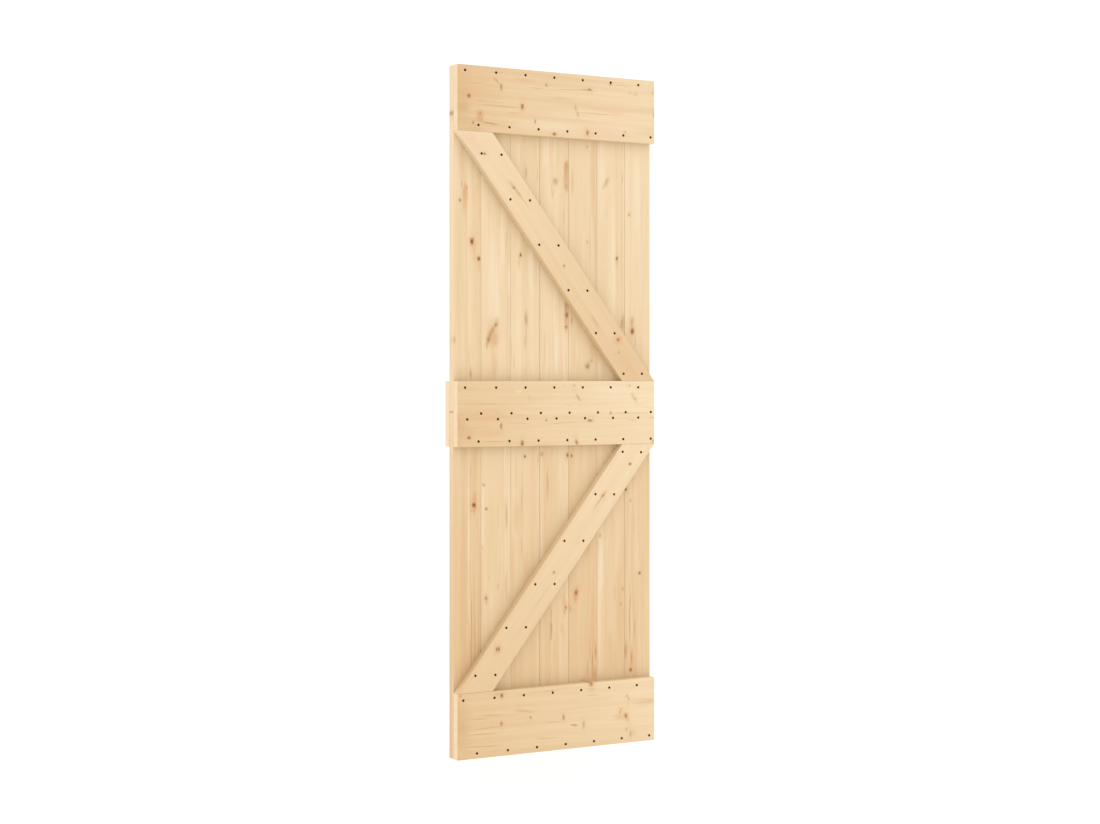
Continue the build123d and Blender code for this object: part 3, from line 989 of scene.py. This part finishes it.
def sink_screws(board, places):
    """Cuts a countersink into a board's front at each place."""
    cutter = make_sink_cutter(places)
    cut = board.modifiers.new("countersinks", "BOOLEAN")
    cut.object = cutter
    cut.operation = "DIFFERENCE"
    cut.solver = "EXACT"
    shaped = board.evaluated_get(bpy.context.evaluated_depsgraph_get())
    finished = bpy.data.meshes.new_from_object(shaped)
    board.modifiers.clear()
    board.data = finished
    bpy.data.objects.remove(cutter)


def sink_recess(mesh_data, top, middle):
    """A six-lobed recess in the top of a head."""
    bmesh.ops.inset_region(mesh_data, faces=[top], thickness=RECESS_RIM, depth=0)
    for vert in list(top.verts)[1::2]:
        vert.co = middle + (vert.co - middle) * RECESS_WAIST
    recess = bmesh.ops.extrude_discrete_faces(mesh_data, faces=[top])["faces"][0]
    bmesh.ops.translate(mesh_data, vec=(0, RECESS_DEPTH, 0), verts=recess.verts)


def add_screw(mesh_data, x, z, turn):
    """One countersunk head, its top just below the wood."""
    middle = Vector((x, FRONT + HEAD_SINK, z))
    place = facing_front(middle, turn)
    disc = bmesh.ops.create_circle(
        mesh_data, cap_ends=True, segments=HEAD_CORNERS, radius=HEAD_RADIUS, matrix=place)
    top = disc["verts"][0].link_faces[0]
    skirt = bmesh.ops.extrude_edge_only(mesh_data, edges=list(top.edges))["geom"]
    foot = [item for item in skirt if isinstance(item, bmesh.types.BMVert)]
    narrowed = (HEAD_TAPER, 1, HEAD_TAPER)
    bmesh.ops.scale(mesh_data, vec=narrowed, space=Matrix.Translation(-middle), verts=foot)
    bmesh.ops.translate(mesh_data, vec=(0, HEAD_HEIGHT, 0), verts=foot)
    sink_recess(mesh_data, top, middle)


def make_screws(node, material):
    """The screws of one board, as one piece."""
    heads = bmesh.new()
    for number, (x, z) in enumerate(screw_places(node)):
        add_screw(heads, x, z, number * TURN_STEP)
    bmesh.ops.recalc_face_normals(heads, faces=heads.faces)
    return new_piece(node + "_screws", heads, material)


def fit_screws(node, board, steel):
    """Cuts a board's countersinks and sets its screws in them."""
    sink_screws(board, screw_places(node))
    make_screws(node, steel)


def make_screw_steel():
    """Dark phosphated steel."""
    material, tree = new_material("screw_steel")
    where = add(tree, "ShaderNodeTexCoord").outputs["Object"]
    point = vector_calc(tree, "MULTIPLY", where, (1 / MM, 1 / MM, 1 / MM))
    worn = noise(tree, point, *WEAR)
    shader = add(tree, "ShaderNodeBsdfPrincipled", {
        "Base Color": blend_colour(tree, worn, STEEL_DARK, STEEL_LIGHT), "Metallic": 1,
        "Roughness": spread_noise(tree, worn, WEAR_SPREAD, *STEEL_ROUGHNESS)})
    show_surface(tree, shader)
    return material


# Stage

CAMERA_REACH = 200   # how far the camera sees
FLOOR_GAP = 60 * MM  # under the leaf, which hangs
FLOOR_REACH = 60     # from the floor's middle to each side
FLOOR_TONE = (0.55, 0.55, 0.55, 1)
FLOOR_GLOW = 0.45
FLOOR_LIFT = 0.12    # more glow where the floor is seen directly
BACKDROP_LIFT = 0.1  # the same for the white behind the leaf
MIDDLE = Vector(((LEFT + RIGHT) / 2, (FRONT + BACK) / 2, (TOP + BOTTOM) / 2))
EDGE_LIGHT_PLACE = Vector((-4, 3, MIDDLE.z - 0.5))
EDGE_LIGHT_SIZE = 3
EDGE_LIGHT_POWER = 10


def make_camera():
    """The photograph's camera, level, with the horizon above the middle of the frame."""
    data = bpy.data.cameras.new("camera")
    data.sensor_fit = "HORIZONTAL"
    data.lens = FOCAL_PIXELS / PHOTO_WIDTH * data.sensor_width
    data.shift_y = (HORIZON_PIXEL - PHOTO_HEIGHT / 2) / PHOTO_WIDTH
    data.clip_end = CAMERA_REACH
    camera = link_object("camera", data)
    camera.location = CAMERA_PLACE
    camera.rotation_euler = (pi / 2, 0, -DOOR_TURN)
    bpy.context.scene.camera = camera


def seen_directly(tree):
    """1 for what the camera sees straight, in a reflection or through glass."""
    path = add(tree, "ShaderNodeLightPath").outputs
    seen = calc(tree, "ADD", path["Is Camera Ray"], path["Is Glossy Ray"], clamp=True)
    return calc(tree, "ADD", seen, path["Is Transmission Ray"], clamp=True)


def lifted(tree, strength, lift):
    """A strength that is raised by the lift where it is seen directly."""
    return calc(tree, "ADD", calc(tree, "MULTIPLY", seen_directly(tree), lift), strength)


def make_world():
    """Even white light from all round, a little brighter where it is seen as the white behind the leaf."""
    world = bpy.data.worlds.new("studio")
    bpy.context.scene.world = world
    world.use_nodes = True
    background = world.node_tree.nodes["Background"]
    background.inputs["Color"].default_value = WHITE
    world.node_tree.links.new(lifted(world.node_tree, 1.0, BACKDROP_LIFT), background.inputs["Strength"])


def make_floor_white():
    """Matt grey with a glow that brings it up to white, so that a shadow on it still shows."""
    material, tree = new_material("floor")
    matte = add(tree, "ShaderNodeBsdfDiffuse", {"Color": FLOOR_TONE})
    glow = add(tree, "ShaderNodeEmission", {"Strength": lifted(tree, FLOOR_GLOW, FLOOR_LIFT)})
    show_surface(tree, add(tree, "ShaderNodeAddShader", {0: matte.outputs[0], 1: glow.outputs[0]}))
    return material


def make_floor():
    """A pale lit floor that keeps the leaf's shadow."""
    level = Matrix.Translation((0, 0, BOTTOM - FLOOR_GAP))
    grid = bmesh.new()
    bmesh.ops.create_grid(grid, x_segments=1, y_segments=1, size=FLOOR_REACH, matrix=level)
    floor = new_object("floor", grid, make_floor_white())


def make_edge_light():
    """A soft square lamp that brightens the leaf's left edge, from behind it."""
    data = bpy.data.lights.new("edge_light", "AREA")
    data.shape = "SQUARE"
    data.size = EDGE_LIGHT_SIZE
    data.energy = EDGE_LIGHT_POWER
    lamp = link_object("edge_light", data)
    lamp.location = EDGE_LIGHT_PLACE
    lamp.rotation_euler = (MIDDLE - EDGE_LIGHT_PLACE).to_track_quat("-Z", "Y").to_euler()
    lamp.visible_camera = False


# The leaf

def dress_rails(steel):
    """The rails' boards, those on the front with their screws."""
    for rail in RAILS:
        board = make_board(rail, rail_outline(rail), 0)
        if rail in RAIL_ROWS:
            fit_screws(rail, board, steel)


def dress_braces(steel):
    """The braces' boards with their screws."""
    for brace in BRACES:
        outline, slope = brace_outline(brace)
        fit_screws(brace, make_board(brace, outline, slope), steel)


def dress_planks():
    """Pine for the planks, which are shown as their solids."""
    for plank in PLANKS:
        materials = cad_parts[plank].data.materials
        materials.clear()
        materials.append(make_pine(plank, pi / 2))


bpy.context.scene.view_settings.view_transform = "Standard"
make_camera()
make_world()
make_floor()
make_edge_light()
screw_steel = make_screw_steel()
dress_rails(screw_steel)
dress_braces(screw_steel)
dress_planks()
